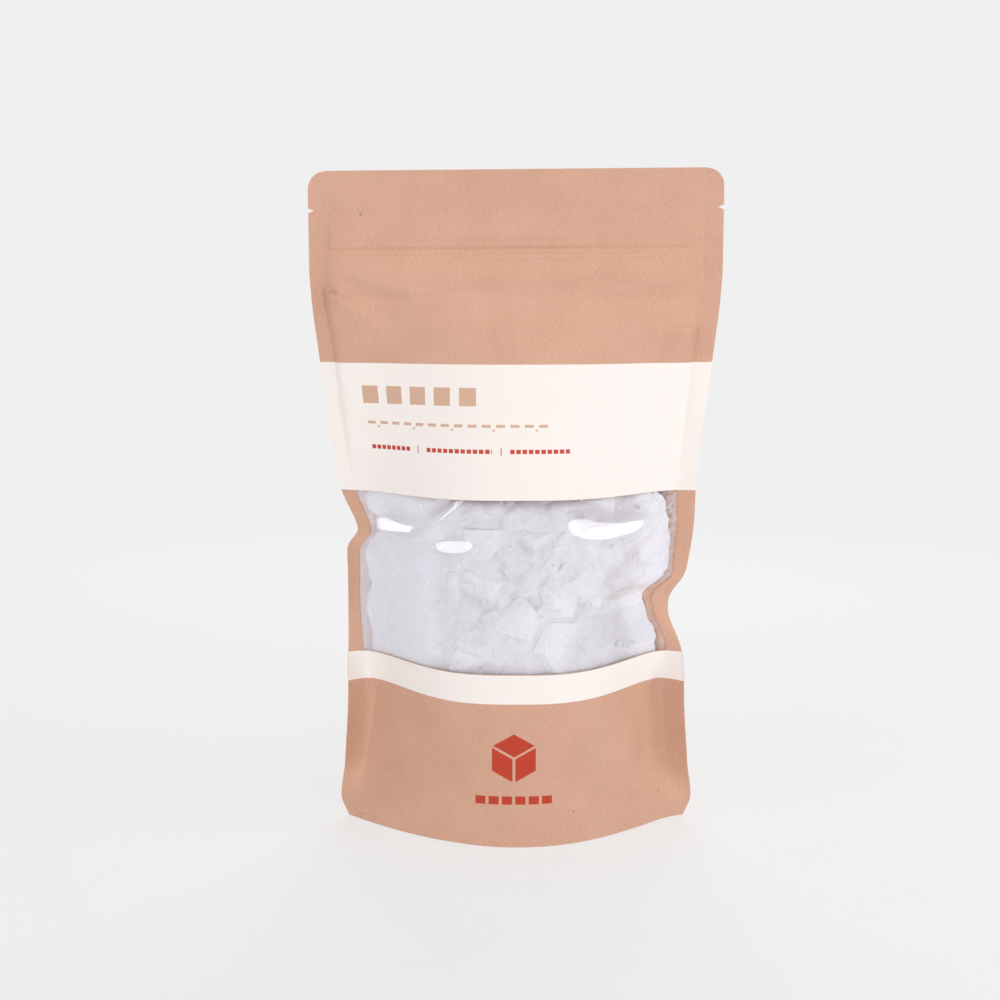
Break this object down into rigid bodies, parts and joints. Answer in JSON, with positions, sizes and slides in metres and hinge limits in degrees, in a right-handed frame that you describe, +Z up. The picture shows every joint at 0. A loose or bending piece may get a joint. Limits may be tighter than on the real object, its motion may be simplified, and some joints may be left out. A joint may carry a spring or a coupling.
{
  "type": "stand-up pouch of gymnastics chalk",
  "caption": "Kraft stand-up pouch with a clear window, press-to-close zip, tear-off header and folded base, filled with broken lumps and powder of grip chalk.",
  "frame": {"origin": "centre of the base, on the ground", "axes": "+Z up, -Y the side with the window, +X to the right of someone facing the window"},
  "size_m": [0.16, 0.0826, 0.258],
  "materials": {
    "kraft_laminate": "matte",
    "clear_film": "gloss",
    "zip_plastic": "satin",
    "chalk": "matte"
  },
  "bodies": {
    "pouch": {"front_panel": "kraft_laminate", "back_panel": "kraft_laminate", "bottom_gusset": "kraft_laminate", "window_film": "clear_film", "chalk_powder_bed": "chalk", "chalk_lump_01": "chalk", "chalk_lump_02": "chalk", "chalk_lump_03": "chalk", "chalk_lump_04": "chalk", "chalk_lump_05": "chalk", "chalk_lump_06": "chalk", "chalk_lump_07": "chalk", "chalk_lump_08": "chalk", "chalk_lump_09": "chalk", "chalk_lump_10": "chalk", "chalk_lump_11": "chalk", "chalk_lump_12": "chalk", "chalk_lump_13": "chalk", "chalk_lump_14": "chalk", "chalk_lump_15": "chalk", "chalk_lump_16": "chalk", "chalk_lump_17": "chalk", "chalk_lump_18": "chalk", "chalk_lump_19": "chalk", "chalk_lump_20": "chalk", "chalk_lump_21": "chalk", "chalk_lump_22": "chalk", "chalk_lump_23": "chalk", "chalk_lump_24": "chalk", "chalk_lump_25": "chalk"},
    "front_lip": {"front_lip": "kraft_laminate", "zip_rib_strip": "zip_plastic"},
    "back_lip": {"back_lip": "kraft_laminate", "zip_groove_strip": "zip_plastic"},
    "header": {"header_front_layer": "kraft_laminate", "header_back_layer": "kraft_laminate"}
  },
  "joints": [
    {"name": "front_lip_open", "type": "hinge", "parent": "pouch", "child": "front_lip", "pos_m": [0, -0.01508, 0.196], "axis": [1, 0, 0], "range_deg": [0, 28]},
    {"name": "back_lip_open", "type": "hinge", "parent": "pouch", "child": "back_lip", "pos_m": [0, 0.01508, 0.196], "axis": [-1, 0, 0], "range_deg": [0, 28]},
    {"name": "header_tear", "type": "hinge", "parent": "pouch", "child": "header", "pos_m": [0.0778, 0, 0.243], "axis": [0, 1, 0], "range_deg": [0, 30]}
  ]
}
